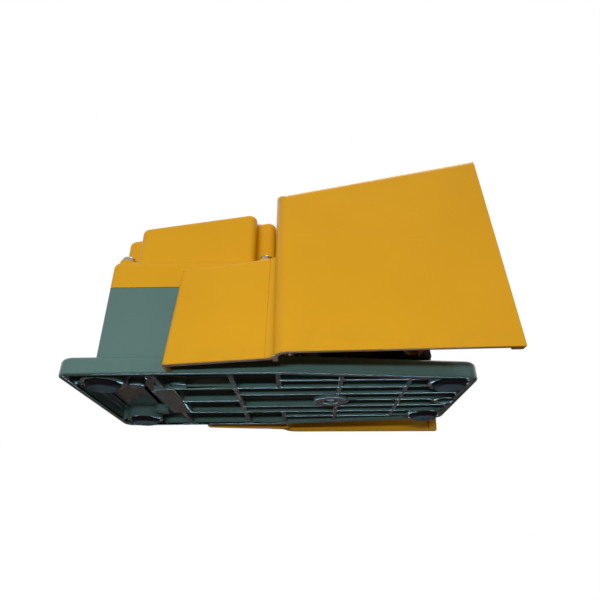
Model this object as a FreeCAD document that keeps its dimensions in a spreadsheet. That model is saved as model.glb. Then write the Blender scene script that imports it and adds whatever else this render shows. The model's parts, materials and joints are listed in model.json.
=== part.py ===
"""Guarded foot switch: a cast base with a switch housing, a lid, a hood over the foot and a sprung treadle.

Millimetres. X points to the open front of the hood, Y across, Z up. The origin lies on the floor, under the
middle of the overall length and width. Driving sizes are in the sheet, and features read them by formula.
"""
import FreeCAD, Part
import Sketcher
import math
import os
import re

Vector = FreeCAD.Vector
Rotation = FreeCAD.Rotation

SIZES = {
    # base casting: a flange with a skirt round a ribbed hollow
    "base_length": 222, "base_width_rear": 113, "base_width_front": 88, "straight_length": 116,
    "flange_height": 9.7, "base_corner": 8, "flange_round": 2.5, "skirt_wall": 4, "deck_thickness": 3.2,
    # ribs under the deck
    "rib_wall": 2.6, "rib_recess": 1, "rib_pitch": 12.9, "divider_station": 48, "divider_width": 12,
    "middle_station": 89, "short_station": 114, "spring_rib_offset": 4, "nose_rib_setback": 36,
    # rubber feet
    "foot_stand": 2.5, "foot_radius": 9, "foot_bevel": 1.25, "foot_seat_depth": 4.5, "foot_ring_wall": 2.4,
    "foot_clearance": 0.3, "rear_foot_station": 19, "rear_foot_spread": 78, "front_foot_setback": 14,
    "front_foot_spread": 67,
    # switch housing, part of the base casting
    "housing_setback": 18.4, "housing_length": 94.4, "housing_width": 108, "housing_height": 51.5,
    "housing_wall": 3.5, "housing_corner": 3, "lid_boss_radius": 5.2, "hood_boss_radius": 5,
    "hood_boss_length": 4,
    # lid and its seal
    "gasket_thickness": 1, "gasket_inset": 2, "gasket_pad": 3.8, "lid_wall": 3, "lid_band": 8,
    "lid_ledge": 18.4, "ledge_round": 6, "lid_gap": 0.4, "lip_gap": 0.1, "lip_wall": 1.7, "seat_wall": 0.4,
    "dome_inset": 1.5, "dome_rear_rise": 39.4, "dome_front_rise": 54.6, "dome_round": 4.2,
    "notch_length": 12.5, "notch_width": 12,
    # hood over the foot
    "hood_wall": 2.8, "hood_rim": 1.4, "hood_rim_depth": 6, "hood_bottom": 3, "hood_reach_low": 229.2,
    "hood_reach_high": 232, "hood_lean": 7.4, "hood_width_rear": 166, "hood_width_front": 174,
    "hood_rear_height": 108.5, "hood_front_height": 134, "hood_round": 8.5, "wall_lift": 2.3,
    # cheeks of the hood beside the housing
    "ear_station": 57.6, "ear_width_rear": 134.4, "ear_width_front": 151, "ear_rear_height": 61.5,
    "ear_front_height": 65.3, "ear_round": 3, "ear_gap": 0.5, "ear_rake": 2.6, "bend_low": 5,
    "bend_high": 3, "bend_drop": 1,
    # hinge of the treadle
    "axle_setback": 34.5, "axle_height": 20.5, "axle_radius": 3, "axle_fit": 0.05, "axle_end": 1,
    "bush_wall": 1.5, "bush_flange": 1.2, "bush_flange_wall": 1.2, "press_fit": 0.02, "side_play": 0.3,
    "lug_inner": 23, "lug_thickness": 8, "lug_radius": 5.6, "lug_foot_rear": 8.4, "lug_foot_front": 2.8,
    "lug_gap": 0.4, "clip_thickness": 1, "clip_wall": 3.2, "clip_groove": 0.7, "clip_slack": 0.2,
    "clip_land": 1,
    # treadle and its mat
    "treadle_tilt": 13, "treadle_travel": 5.5, "treadle_width_rear": 94, "treadle_width_front": 86,
    "treadle_gap": 0.5, "treadle_nose": 12.1, "treadle_ramp": 7.3, "treadle_corner": 9, "treadle_plate": 4,
    "treadle_rise": 6, "treadle_edge": 2, "treadle_skirt": 3.5, "skirt_depth": 5, "skirt_run": 8,
    "skirt_rear_depth": 4, "nose_round": 2, "hollow_round": 2.5, "boss_wall": 2.3, "tongue_width": 28,
    "tongue_thickness": 5, "tongue_past": 7.3, "tongue_root": 10, "tongue_corner": 4, "slot_gap": 0.75,
    "slot_side": 4,
    "mat_margin": 5, "mat_front_margin": 3.5, "mat_thickness": 2, "mat_corner": 4, "mat_rib": 1.2,
    "mat_rib_width": 2.4, "mat_rib_pitch": 6, "mat_rib_inset": 4,
    # return spring, its guide post and the stops
    "spring_station": 144, "spring_radius": 7, "spring_wire": 1.8, "spring_turns": 5, "spring_gap": 0.3,
    "spring_boss": 10, "spring_boss_drop": 4.9, "post_radius": 4.5, "post_height": 11, "post_bevel": 1.5,
    "post_screw_short": 1, "head_sink": 1, "centre_boss": 10.5,
    "stop_station": 132, "stop_spread": 60, "stop_radius": 6, "stop_height": 6, "stop_bevel": 1.5,
    "stop_gap": 0.4, "stop_stem": 2.25, "stop_stem_length": 6, "stop_stem_fit": 0.25, "stop_stem_room": 7.5,
    # switch bracket
    "bracket_plate": 2, "bracket_length": 54, "bracket_width": 68, "bracket_fit": 0.1, "cheek_margin": 1,
    "cheek_step": 4, "cheek_slope": 3, "bracket_rear_station": 33.5, "bracket_front_station": 57,
    "bracket_spread": 57, "bracket_boss": 4.8, "bracket_boss_depth": 7.5,
    # snap switch
    "switch_length": 38, "switch_width": 21, "switch_floor": 1.5, "switch_height": 18.5, "switch_cover": 2.2,
    "plunger_offset": 14, "plunger_radius": 3.2, "plunger_stand": 5.4, "plunger_length": 11,
    "plunger_bevel": 1, "plunger_fit": 0.1, "plunger_travel": 3.2, "bolt_rise": 6, "bolt_rear": 8,
    "bolt_front": 10, "bolt_past": 2, "terminal_size": 7, "terminal_reach": 6, "terminal_plate": 1.5,
    "terminal_rise": 11, "terminal_screw": 1.4, "terminal_head": 2.7, "terminal_head_height": 2,
    "cover_gap": 1,
    # actuator lever
    "pivot_station": 44, "pivot_height": 45, "pivot_radius": 2.5, "pivot_pin_end": 0.5, "lever_reach": 52,
    "lever_width": 16, "lever_plate": 3, "lever_hub": 5.5, "lever_bend_low": 8, "lever_bend_high": 9,
    "fork_half": 2.5, "fork_eye": 3.6, "fork_gap": 2, "roller_radius": 5, "roller_width": 8,
    "roller_pin": 1.8, "roller_gap": 0.4, "adjust_gap": 0.3, "adjust_stand": 4, "nut_flat": 3.5,
    "nut_height": 2.4,
    # fasteners
    "lid_screw": 2, "lid_screw_length": 30, "lid_head": 3.9, "lid_head_height": 2.8, "washer_radius": 4.4,
    "washer_plate": 0.8, "hood_screw": 2.5, "hood_screw_length": 10, "hood_head": 4.6,
    "hood_head_height": 3, "hood_screw_spread": 62, "hood_screw_low": 22, "hood_screw_high": 44,
    "small_screw": 2, "small_head": 3.6, "small_head_height": 2.4, "small_screw_length": 7,
    "screw_fit": 0.2, "earth_station": 96, "earth_inset": 18, "earth_washer": 4.5, "earth_plate": 0.8,
    "earth_floor": 0.5,
    # cable entry and floor fixing
    "cable_radius": 9.25, "cable_height": 34, "cable_boss": 15, "cable_boss_reach": 6, "fixing_setback": 8,
    "fixing_radius": 4.5, "fixing_wall": 3.2,
    # how far a cut runs past what it cuts
    "past": 1, "far_past": 10,
}

# A pan head's flat crown and the top of its rim, as shares of the head's radius and height.
PAN_CROWN = 0.7
PAN_RIM = 0.45


def over_treadle(level, x, tilt="tilt_rest"):
    """Height of a flat of the treadle, drawn at a level above the axle, at a place along X."""
    return f"axle_height + (axle_x - ({x})) * tan({tilt}) + ({level}) / cos({tilt})"


PLACES = {
    # base and housing
    "rear_x": "-hood_reach_high / 2",
    "front_x": "rear_x + base_length",
    "kink_x": "rear_x + straight_length",
    "deck_z": "foot_stand + flange_height",
    "deck_low": "deck_z - deck_thickness",
    "deck_mid": "deck_z - deck_thickness / 2",
    "rear_foot_x": "rear_x + rear_foot_station",
    "front_foot_x": "front_x - front_foot_setback",
    "fixing_x": "front_x - fixing_setback",
    "housing_rear": "rear_x + housing_setback",
    "housing_front": "housing_rear + housing_length",
    "housing_top": "foot_stand + housing_height",
    "room_half": "housing_width / 2 - housing_wall",
    "earth_x": "rear_x + earth_station",
    "earth_y": "housing_width / 2 - earth_inset",
    # lid
    "lid_low": "housing_top + gasket_thickness",
    "lip_low": "housing_top + lip_gap",
    "lid_front": "housing_front - lid_gap",
    "ledge_z": "lid_low + lid_ledge",
    "dome_slope": "(dome_front_rise - dome_rear_rise) / housing_length",
    "dome_peak": "lid_low + dome_front_rise + far_past",
    "screw_rear": "housing_rear + notch_length / 2",
    "screw_front": "lid_front - notch_length / 2",
    "screw_side": "housing_width / 2 - notch_width / 2",
    # hood
    "hood_front": "rear_x + hood_reach_high",
    "hood_ceiling": "hood_front_height + far_past",
    "lean": "tan(hood_lean * 1 deg)",
    "hood_slope": "(hood_front_height - hood_rear_height) / (hood_front - housing_front)",
    "reach_slope": "(hood_reach_high - hood_reach_low) / (hood_front_height - hood_bottom)",
    "ear_rear": "rear_x + ear_station",
    "ear_ceiling": "ear_front_height + far_past",
    "ear_slope": "(ear_front_height - ear_rear_height) / (housing_front - ear_rear)",
    "rake": "tan(ear_rake * 1 deg)",
    "ear_flare": "(ear_width_front - ear_width_rear) / 2 / (housing_front + hood_wall / 2 - ear_rear)",
    # hinge
    "axle_x": "front_x - axle_setback",
    "boss_inner": "lug_inner + lug_thickness + side_play + bush_flange",
    "boss_width": "treadle_width_front / 2 - boss_inner",
    "bush_radius": "axle_radius + bush_wall",
    "clip_y": "treadle_width_front / 2 + side_play + clip_land",
    "axle_half": "clip_y + clip_thickness + clip_slack + axle_end",
    # treadle, drawn flat about the axle
    "tilt_rest": "treadle_tilt * 1 deg",
    "tilt_pressed": "(treadle_tilt - treadle_travel) * 1 deg",
    "screw_heads_x": "housing_front + hood_wall + hood_head_height",
    "treadle_length": "(axle_x - screw_heads_x - treadle_gap) / cos(tilt_pressed)",
    "treadle_top": "treadle_rise + treadle_plate",
    "toe_x": "treadle_nose - treadle_ramp",
    "tongue_low": "treadle_top - tongue_thickness",
    "tongue_reach": "(axle_x - roller_x + tongue_past) / cos(tilt_rest)",
    "slot_half": "tongue_width / 2 + slot_side",
    "slot_low": over_treadle("tongue_low", "housing_front + hood_wall", "tilt_pressed") + " - slot_gap",
    "slot_high": over_treadle("treadle_top", "housing_front - housing_wall") + " + slot_gap",
    # spring and stops
    "spring_x": "rear_x + spring_station",
    "spring_seat": over_treadle("treadle_rise", "spring_x") + " - spring_boss_drop",
    "spring_length": "spring_seat - spring_gap - deck_z - spring_wire",
    "head_seat": "foot_stand + small_head_height + head_sink",
    "stop_x": "rear_x + stop_station",
    "stop_top": over_treadle("treadle_rise", "stop_x + stop_radius", "tilt_pressed") + " - stop_gap",
    "stop_z": "stop_top - stop_height",
    # switch and lever
    "pivot_x": "rear_x + pivot_station",
    "roller_x": "pivot_x + lever_reach",
    "roller_z": over_treadle("tongue_low - roller_radius - roller_gap", "roller_x"),
    "plunger_x": "pivot_x + plunger_offset",
    "bracket_top": "deck_z + bracket_plate",
    "switch_low": "bracket_top + switch_floor",
    "switch_top": "switch_low + switch_height",
    "switch_rear": "plunger_x - switch_length / 2",
    "switch_front": "plunger_x + switch_length / 2",
    "plunger_top": "switch_top + plunger_stand",
    "plunger_low": "plunger_top - plunger_length",
    "bolt_z": "switch_low + bolt_rise",
    "terminal_z": "switch_low + terminal_rise",
    "upright_inner": "switch_width / 2 + bracket_fit",
    "upright_outer": "upright_inner + bracket_plate",
    "bar_top": "pivot_height + lever_plate / 2",
    "bar_low": "pivot_height - lever_plate / 2",
}

doc = FreeCAD.newDocument("guarded_foot_switch")
sheet = doc.addObject("Spreadsheet::Sheet", "sizes")
for row, (alias, size) in enumerate(SIZES.items(), start=1):
    sheet.set(f"A{row}", alias)
    sheet.set(f"B{row}", str(size))
    sheet.setAlias(f"B{row}", alias)
doc.recompute()

WORD = re.compile(r"[a-z][a-z_]*")
AXES = {
    "X": Rotation(Vector(0, 1, 0), 90), "-X": Rotation(Vector(0, 1, 0), -90),
    "Y": Rotation(Vector(1, 0, 0), -90), "-Y": Rotation(Vector(1, 0, 0), 90),
    "Z": Rotation(), "-Z": Rotation(Vector(1, 0, 0), 180),
}
# Tolerances for telling edges apart, in millimetres.
SAME = 1e-4
NEAR = 0.5
finished = []


def formula(text):
    """The text with each name turned into its cell, or into the formula that the name stands for."""
    def swap(found):
        word = found.group(0)
        if word in PLACES:
            return "(" + formula(PLACES[word]) + ")"
        return "sizes." + word if word in SIZES else word
    return WORD.sub(swap, str(text))


def bind(item, **properties):
    """Ties properties to formulas; a double underscore in a name stands for a dot."""
    for path, text in properties.items():
        item.setExpression(path.replace("__", "."), formula(text))


def place(item, x="0", y="0", z="0", axis="Z"):
    item.Placement = FreeCAD.Placement(Vector(), AXES[axis])
    bind(item, Placement__Base__x=x, Placement__Base__y=y, Placement__Base__z=z)
    return item


def finish(item, label):
    """Gives a finished piece the label that names its file."""
    item.Label = label
    finished.append(item)
    return item


def upright_edge(edge):
    box = edge.BoundBox
    return box.ZLength > NEAR and box.XLength + box.YLength < 0.5 * box.ZLength


def level_at(height):
    """A test for edges that lie flat at one height."""
    return lambda edge: abs(edge.BoundBox.ZMin - height) < SAME and abs(edge.BoundBox.ZMax - height) < SAME


class Piece:
    """A body with short calls for its sketches and features."""

    def __init__(self, name):
        self.body = doc.addObject("PartDesign::Body", name)
        self.planes = {item.Role: item for item in self.body.Origin.OriginFeatures}

    def sketch(self, plane, offset):
        drawing = self.body.newObject("Sketcher::SketchObject", self.body.Name + "_sketch")
        drawing.AttachmentSupport = [(self.planes[plane + "_Plane"], "")]
        drawing.MapMode = "FlatFace"
        bind(drawing, AttachmentOffset__Base__z=offset)
        return drawing

    def outline(self, plane, points, offset="0"):
        """A closed sketch of straight lines whose corners are pairs of formulas."""
        drawing = self.sketch(plane, offset)
        count = len(points)
        step = 2 * math.pi / count
        ring = [Vector(math.cos(step * i), math.sin(step * i), 0) for i in range(count)]
        for i in range(count):
            drawing.addGeometry(Part.LineSegment(ring[i], ring[(i + 1) % count]))
        for i in range(count):
            drawing.addConstraint(Sketcher.Constraint("Coincident", i, 2, (i + 1) % count, 1))
        for i, corner in enumerate(points):
            for kind, text, start in zip(("DistanceX", "DistanceY"), corner, ring[i]):
                index = drawing.addConstraint(Sketcher.Constraint(kind, -1, 1, i, 1, start))
                drawing.setExpression(f"Constraints[{index}]", formula(text))
        return drawing

    def feature(self, kind, drawing):
        item = self.body.newObject("PartDesign::" + kind, self.body.Name + "_" + kind.lower())
        item.Profile = drawing
        return item

    def settle(self):
        doc.recompute()
        return self

    def pad(self, drawing, length, symmetric=False):
        item = self.feature("Pad", drawing)
        bind(item, Length=length)
        item.SideType = "Symmetric" if symmetric else "One side"
        return self.settle()

    def pocket(self, drawing, length="", upward=False):
        """Cuts downward by a length, upward, or right through on both sides when no length is given."""
        item = self.feature("Pocket", drawing)
        if length:
            bind(item, Length=length)
            item.Reversed = upward
        else:
            item.SideType = "Symmetric"
            item.Type = "ThroughAll"
        return self.settle()

    def loft(self, low, high):
        item = self.feature("AdditiveLoft", low)
        item.Sections = [high]
        item.Ruled = True
        return self.settle()

    def turn(self, points):
        """Revolves a half section, given as radius and height, about the body's Z axis."""
        item = self.feature("Revolution", self.outline("XZ", points))
        item.ReferenceAxis = (item.Profile[0], ["V_Axis"])
        item.Angle = 360
        return self.settle()

    def smooth(self, radius, wanted):
        """Rounds the edges of the last feature that pass the test."""
        last = self.body.Tip
        names = [f"Edge{i}" for i, edge in enumerate(last.Shape.Edges, start=1) if wanted(edge)]
        item = self.body.newObject("PartDesign::Fillet", self.body.Name + "_fillet")
        item.Base = (last, names)
        bind(item, Radius=radius)
        return self.settle()


def block(x, y, z):
    """A box between pairs of formulas."""
    item = doc.addObject("Part::Box", "block")
    for path, (low, high) in zip(("Length", "Width", "Height"), (x, y, z)):
        item.setExpression(path, formula(f"({high}) - ({low})"))
    return place(item, x[0], y[0], z[0])


def both_sides(half):
    """The pair of formulas from one side of the middle plane to the other."""
    return f"-({half})", half


def rod(radius, length, x="0", y="0", z="0", axis="Z"):
    """A cylinder that runs from a point along an axis."""
    item = doc.addObject("Part::Cylinder", "rod")
    bind(item, Radius=radius, Height=length)
    return place(item, x, y, z, axis)


def cross_rod(radius, half_length, x, z):
    """A cylinder across the middle plane."""
    return rod(radius, f"2 * ({half_length})", x, f"-({half_length})", z, "Y")


def join(*items):
    if len(items) == 1:
        return items[0]
    item = doc.addObject("Part::MultiFuse", "join")
    item.Shapes = list(items)
    return item


def cut(base, *tools):
    item = doc.addObject("Part::Cut", "cut")
    item.Base = base
    item.Tool = join(*tools)
    return item


def common(first, second):
    item = doc.addObject("Part::Common", "common")
    item.Base = first
    item.Tool = second
    return item


def group(label, items):
    """One node that holds several separate solids."""
    item = doc.addObject("Part::Compound", label)
    item.Links = list(items)
    return finish(item, label)


def rectangle(x_low, x_high, half_width):
    low, high = both_sides(half_width)
    return [(x_low, low), (x_high, low), (x_high, high), (x_low, high)]


def screw(radius, length, head, head_height, x, y, z, axis):
    """A pan head screw whose head rests at a point and whose shank runs along the axis."""
    piece = Piece("screw")
    crown, rim = f"{PAN_CROWN} * {head}", f"-{PAN_RIM} * {head_height}"
    piece.turn([("0", f"-{head_height}"), (crown, f"-{head_height}"), (head, rim), (head, "0"),
                (radius, "0"), (radius, length), ("0", length)])
    return place(piece.body, x, y, z, axis)


def disc_ring(outer, inner, height, x, y, z, axis="Z"):
    piece = Piece("ring")
    piece.turn([(inner, "0"), (outer, "0"), (outer, height), (inner, height)])
    return place(piece.body, x, y, z, axis)


SIDES = ("", "-")
# Straight runs in the plan of a bend.
BEND_STEPS = 5
MIRRORED_AXES = (("", "Y"), ("-", "-Y"))
LID_SCREWS = [(x, f"{side}(screw_side)") for x in ("screw_rear", "screw_front") for side in SIDES]
FEET = [(f"{end}_foot_x", f"{side}{end}_foot_spread / 2") for end in ("rear", "front") for side in SIDES]
HOOD_SCREWS = [(f"{side}hood_screw_spread / 2", f"hood_screw_{level}")
               for level in ("low", "high") for side in SIDES]
STOPS = [("stop_x", f"{side}stop_spread / 2") for side in SIDES]
BRACKET_SCREWS = [(f"rear_x + bracket_{end}_station", f"{side}bracket_spread / 2")
                  for end in ("rear", "front") for side in SIDES]
SWITCH_BOLTS = ("switch_rear + bolt_rear", "switch_front - bolt_front")
TERMINALS = [(x, f"{side}switch_width / 4") for x in ("switch_rear", "switch_front") for side in SIDES]


def flange_outline(inset):
    """The plan of the base: parallel at the rear, and tapered from the kink to the front."""
    rear_half = f"base_width_rear / 2 - ({inset})"
    front_half = f"base_width_front / 2 - ({inset})"
    right = [(f"rear_x + {inset}", f"-({rear_half})"), ("kink_x", f"-({rear_half})"),
             (f"front_x - ({inset})", f"-({front_half})")]
    left = [(x, y[1:]) for x, y in reversed(right)]
    return right + left


def base_blank():
    """Flange and housing walls, with the housing open above and the skirt open below."""
    base = Piece("base_blank")
    base.pad(base.outline("XY", flange_outline("0"), "foot_stand"), "flange_height")
    base.smooth("base_corner", upright_edge)
    base.smooth("flange_round", level_at(base.body.Shape.BoundBox.ZMax))
    walls = rectangle("housing_rear", "housing_front", "housing_width / 2")
    base.pad(base.outline("XY", walls, "deck_low"), "housing_top - deck_low")
    top = base.body.Shape.BoundBox.ZMax
    base.smooth("housing_corner", lambda edge: upright_edge(edge) and edge.BoundBox.ZMax > top - SAME)
    hollow = rectangle("housing_rear + housing_wall", "housing_front - housing_wall", "room_half")
    base.pocket(base.outline("XY", hollow, "housing_top"), "housing_top - deck_z")
    skirt = base.outline("XY", flange_outline("skirt_wall"), "foot_stand")
    base.pocket(skirt, "flange_height - deck_thickness", upward=True)
    return base.body


def underside_ribs():
    """The rib lattice under the deck and the webs at the feet, trimmed to the plan of the skirt."""
    height = ("foot_stand + rib_recess", "deck_mid")
    half = "base_width_rear / 2"

    def cross_rib(x, y=both_sides(half), wall="rib_wall"):
        return block((f"{x} - {wall} / 2", f"{x} + {wall} / 2"), y, height)

    def long_rib(y, start, end):
        return block((start, end), (f"{y} - rib_wall / 2", f"{y} + rib_wall / 2"), height)

    divider, middle, short = ("rear_x + " + name + "_station" for name in ("divider", "middle", "short"))
    spring = "spring_x + spring_rib_offset"
    nose = "front_x - nose_rib_setback"
    ribs = [cross_rib(x) for x in (divider, middle, spring, nose)]
    ribs.append(cross_rib(divider, both_sides("2 * rib_pitch"), "divider_width"))
    ribs += [cross_rib(short, ("2 * rib_pitch", half)), cross_rib(short, (f"-{half}", "-2 * rib_pitch"))]
    runs = [((-2, 0, 2), divider, middle), ((-2, -1, 1, 2), middle, spring), ((-3, 3), short, spring),
            ((-3, -2, -1, 0, 1, 2, 3), spring, "front_x - skirt_wall")]
    for steps, start, end in runs:
        ribs += [long_rib(f"{step} * rib_pitch", start, end) for step in steps]
    for x, y in FEET:
        rear = x.startswith("rear")
        ribs.append(long_rib(y, "rear_x" if rear else x, x if rear else "front_x"))
        ribs.append(cross_rib(x, (f"-{half}", y) if y.startswith("-") else (y, half)))
    trim = Piece("skirt_plan")
    trim.pad(trim.outline("XY", flange_outline("skirt_wall / 2"), "foot_stand"), "flange_height")
    return common(join(*ribs), trim.body)


def hinge_lug(y_low):
    """A cheek with a round head that carries the axle above the deck."""
    lug = Piece("hinge_lug")
    profile = [("axle_x - lug_foot_rear", "deck_low"), ("axle_x + lug_foot_front", "deck_low"),
               ("axle_x + lug_radius", "axle_height"), ("axle_x - lug_radius", "axle_height")]
    lug.pad(lug.outline("XZ", profile, f"-({y_low}) - lug_thickness"), "lug_thickness")
    return join(lug.body, rod("lug_radius", "lug_thickness", "axle_x", y_low, "axle_height", "Y"))


def base_bosses():
    """The bosses that stand under the deck, in the housing and on the deck."""
    depth = "deck_mid - foot_stand"
    ring = "foot_radius + foot_clearance + foot_ring_wall"
    bosses = [rod(ring, depth, x, y, "foot_stand") for x, y in FEET]
    bosses += [rod("lid_boss_radius", "housing_top - deck_low", x, y, "deck_low") for x, y in LID_SCREWS]
    bosses += [rod("stop_radius", "stop_z - deck_mid", x, y, "deck_mid") for x, y in STOPS]
    boss_low = "deck_z - bracket_boss_depth"
    bosses += [rod("bracket_boss", f"deck_mid - ({boss_low})", x, y, boss_low) for x, y in BRACKET_SCREWS]
    bosses += [rod("hood_boss_radius", "hood_boss_length + housing_wall / 2",
                   "housing_front - housing_wall - hood_boss_length", y, z, "X") for y, z in HOOD_SCREWS]
    bosses.append(rod("centre_boss", depth, "spring_x", "0", "foot_stand"))
    bosses.append(rod("fixing_radius + fixing_wall", depth, "fixing_x", "0", "foot_stand"))
    bosses.append(rod("cable_boss", "cable_boss_reach + housing_wall / 2", "housing_rear - cable_boss_reach",
                      "0", "cable_height", "X"))
    return bosses


def base_holes():
    """Seats of the feet, holes of the fasteners, the axle, the cable entry and the slot for the tongue."""
    holes = [rod("foot_radius + foot_clearance", "foot_seat_depth + foot_stand", x, y) for x, y in FEET]
    holes += [rod("lid_screw", "lid_screw_length", x, y, "ledge_z + washer_plate - lid_screw_length")
              for x, y in LID_SCREWS]
    holes += [rod("stop_stem + stop_stem_fit", "stop_stem_room", x, y, "stop_z - stop_stem_room")
              for x, y in STOPS]
    holes += [rod("hood_screw", "hood_screw_length", "housing_front + hood_wall - hood_screw_length", y, z,
                  "X") for y, z in HOOD_SCREWS]
    holes += [rod("small_screw", "small_screw_length", x, y, "bracket_top - small_screw_length")
              for x, y in BRACKET_SCREWS]
    holes.append(rod("small_screw", "deck_thickness - earth_floor", "earth_x", "earth_y",
                     "deck_low + earth_floor"))
    holes.append(cross_rod("axle_radius + axle_fit", "axle_half", "axle_x", "axle_height"))
    holes.append(rod("small_screw + screw_fit", "deck_z + past", "spring_x"))
    holes.append(rod("small_head + 2 * screw_fit", "head_seat", "spring_x"))
    holes.append(rod("fixing_radius", "deck_z + past", "fixing_x"))
    holes.append(rod("cable_radius", "cable_boss_reach + housing_wall + 2 * past",
                     "housing_rear - cable_boss_reach - past", "0", "cable_height", "X"))
    holes.append(block(("housing_front - housing_wall - past", "housing_front + past"),
                       both_sides("slot_half"), ("slot_low", "slot_high")))
    return holes


def base_casting():
    lugs = [hinge_lug("lug_inner"), hinge_lug("-lug_inner - lug_thickness")]
    casting = join(base_blank(), underside_ribs(), *base_bosses(), *lugs)
    return finish(cut(casting, *base_holes()), "base_casting")


def rubber_feet():
    solids = []
    for x, y in FEET:
        foot = Piece("foot")
        foot.turn([("0", "0"), ("foot_radius - foot_bevel", "0"), ("foot_radius", "foot_bevel"),
                   ("foot_radius", "foot_stand + foot_seat_depth"), ("0", "foot_stand + foot_seat_depth")])
        solids.append(place(foot.body, x, y))
    return group("rubber_feet", solids)


def notched_plan(inset):
    """The plan of the dome: a rectangle with a notch at each corner for the lid screws."""
    x_low, x_high = f"housing_rear + {inset}", f"lid_front - ({inset})"
    shift = f"({inset} - dome_inset)"
    x_in, x_out = f"housing_rear + notch_length + {shift}", f"lid_front - notch_length - {shift}"
    near, far = f"housing_width / 2 - ({inset})", f"housing_width / 2 - notch_width - {shift}"
    lower = [(x_low, f"-({far})"), (x_in, f"-({far})"), (x_in, f"-({near})"),
             (x_out, f"-({near})"), (x_out, f"-({far})"), (x_high, f"-({far})")]
    upper = [(x, y[1:]) for x, y in reversed(lower)]
    return lower + upper


def dome(name, inset, low, drop):
    """The raised middle of the lid up to its sloping top, lowered by a drop for the inside."""
    piece = Piece(name)
    piece.pad(piece.outline("XY", notched_plan(inset), low), f"dome_peak - ({low})")
    rear, front = "housing_rear - past", "housing_front + past"
    rise = f"lid_low + dome_rear_rise - {drop} + dome_slope * "
    piece.pocket(piece.outline("XZ", [(rear, f"{rise}(-past)"), (front, f"{rise}(housing_length + past)"),
                                      (front, "dome_peak + past"), (rear, "dome_peak + past")]))
    return piece


def lid():
    """The cap of the switch housing: a band with a lip round the seal, corner ledges and a notched dome."""
    cap = Piece("lid_band")
    plan = rectangle("housing_rear", "lid_front", "housing_width / 2")
    cap.pad(cap.outline("XY", plan, "lip_low"), "ledge_z - lip_low")
    cap.smooth("housing_corner", upright_edge)
    cap.smooth("ledge_round", level_at(cap.body.Shape.BoundBox.ZMax))
    seal_room = rectangle("housing_rear + lip_wall", "lid_front - lip_wall", "housing_width / 2 - lip_wall")
    cap.pocket(cap.outline("XY", seal_room, "lip_low"), "lid_low - lip_low", upward=True)
    outer = dome("lid_dome", "dome_inset", "lid_low + lid_band", "0")
    roof = max(outer.body.Tip.Shape.Faces, key=lambda face: face.normalAt(0, 0).z)
    rim = [edge.hashCode() for edge in roof.Edges]
    outer.smooth("dome_round", lambda edge: upright_edge(edge) or edge.hashCode() in rim)
    hollow = Piece("lid_hollow")
    inner_plan = rectangle("housing_rear + housing_wall", "lid_front - housing_wall", "room_half")
    hollow.pad(hollow.outline("XY", inner_plan, "lid_low - past"), "lid_ledge - lid_wall + past")
    inner = dome("lid_room", "dome_inset + lid_wall", "lid_low", "lid_wall")
    bosses = [rod("lid_boss_radius", "lid_ledge - ledge_round", x, y, "lid_low") for x, y in LID_SCREWS]
    bosses += [rod("washer_radius + seat_wall", "lid_ledge", x, y, "lid_low") for x, y in LID_SCREWS]
    holes = [rod("lid_screw + screw_fit", "lid_ledge + 2 * past", x, y, "lid_low - past")
             for x, y in LID_SCREWS]
    shell = cut(join(cap.body, outer.body), hollow.body, inner.body)
    return finish(cut(join(shell, *bosses), *holes), "lid")


def lid_gasket():
    outer = block(("housing_rear + gasket_inset", "lid_front - gasket_inset"),
                  both_sides("housing_width / 2 - gasket_inset"), ("housing_top", "lid_low"))
    inner = block(("housing_rear + housing_wall", "lid_front - housing_wall"), both_sides("room_half"),
                  ("housing_top - past", "lid_low + past"))
    pads = [rod("gasket_pad", "gasket_thickness", x, y, "housing_top") for x, y in LID_SCREWS]
    holes = [rod("lid_screw + screw_fit", "gasket_thickness + 2 * past", x, y, "housing_top - past")
             for x, y in LID_SCREWS]
    return finish(cut(join(cut(outer, inner), *pads), *holes), "lid_gasket")


def lid_fasteners():
    hole = "lid_screw + screw_fit"
    group("lid_washers", [disc_ring("washer_radius", hole, "washer_plate", x, y, "ledge_z")
                          for x, y in LID_SCREWS])
    group("lid_screws", [screw("lid_screw", "lid_screw_length", "lid_head", "lid_head_height", x, y,
                               "ledge_z + washer_plate", "-Z") for x, y in LID_SCREWS])


def leaning_block(name, corners, low, high, reach="0", rear_reach="0"):
    """A block whose sides lean inward toward the top; its ends move forward with the height."""
    piece = Piece(name)
    (x_rear, rear_half), (x_front, front_half) = corners

    def plan(level):
        rise = f"({level} - hood_bottom)"
        rear, front = f"{x_rear} + {rear_reach} * {rise}", f"{x_front} + {reach} * {rise}"
        rear_side, front_side = f"{rear_half} - lean * {rise}", f"{front_half} - lean * {rise}"
        right = [(rear, f"-({rear_side})"), (front, f"-({front_side})")]
        return right + [(front, front_side), (rear, rear_side)]

    return piece.loft(piece.outline("XY", plan(low), low), piece.outline("XY", plan(high), high))


def slope_top(piece, x_start, z_start, slope, ceiling):
    """Cuts a block along a line that climbs toward the front."""
    rear, front = "rear_x - far_past", "hood_front + 2 * far_past"
    line = f"{z_start} + {slope} * "
    sky = f"{ceiling} + 2 * far_past"
    piece.pocket(piece.outline("XZ", [(rear, f"{line}({rear} - {x_start})"),
                                      (front, f"{line}({front} - {x_start})"), (front, sky), (rear, sky)]))


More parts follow.
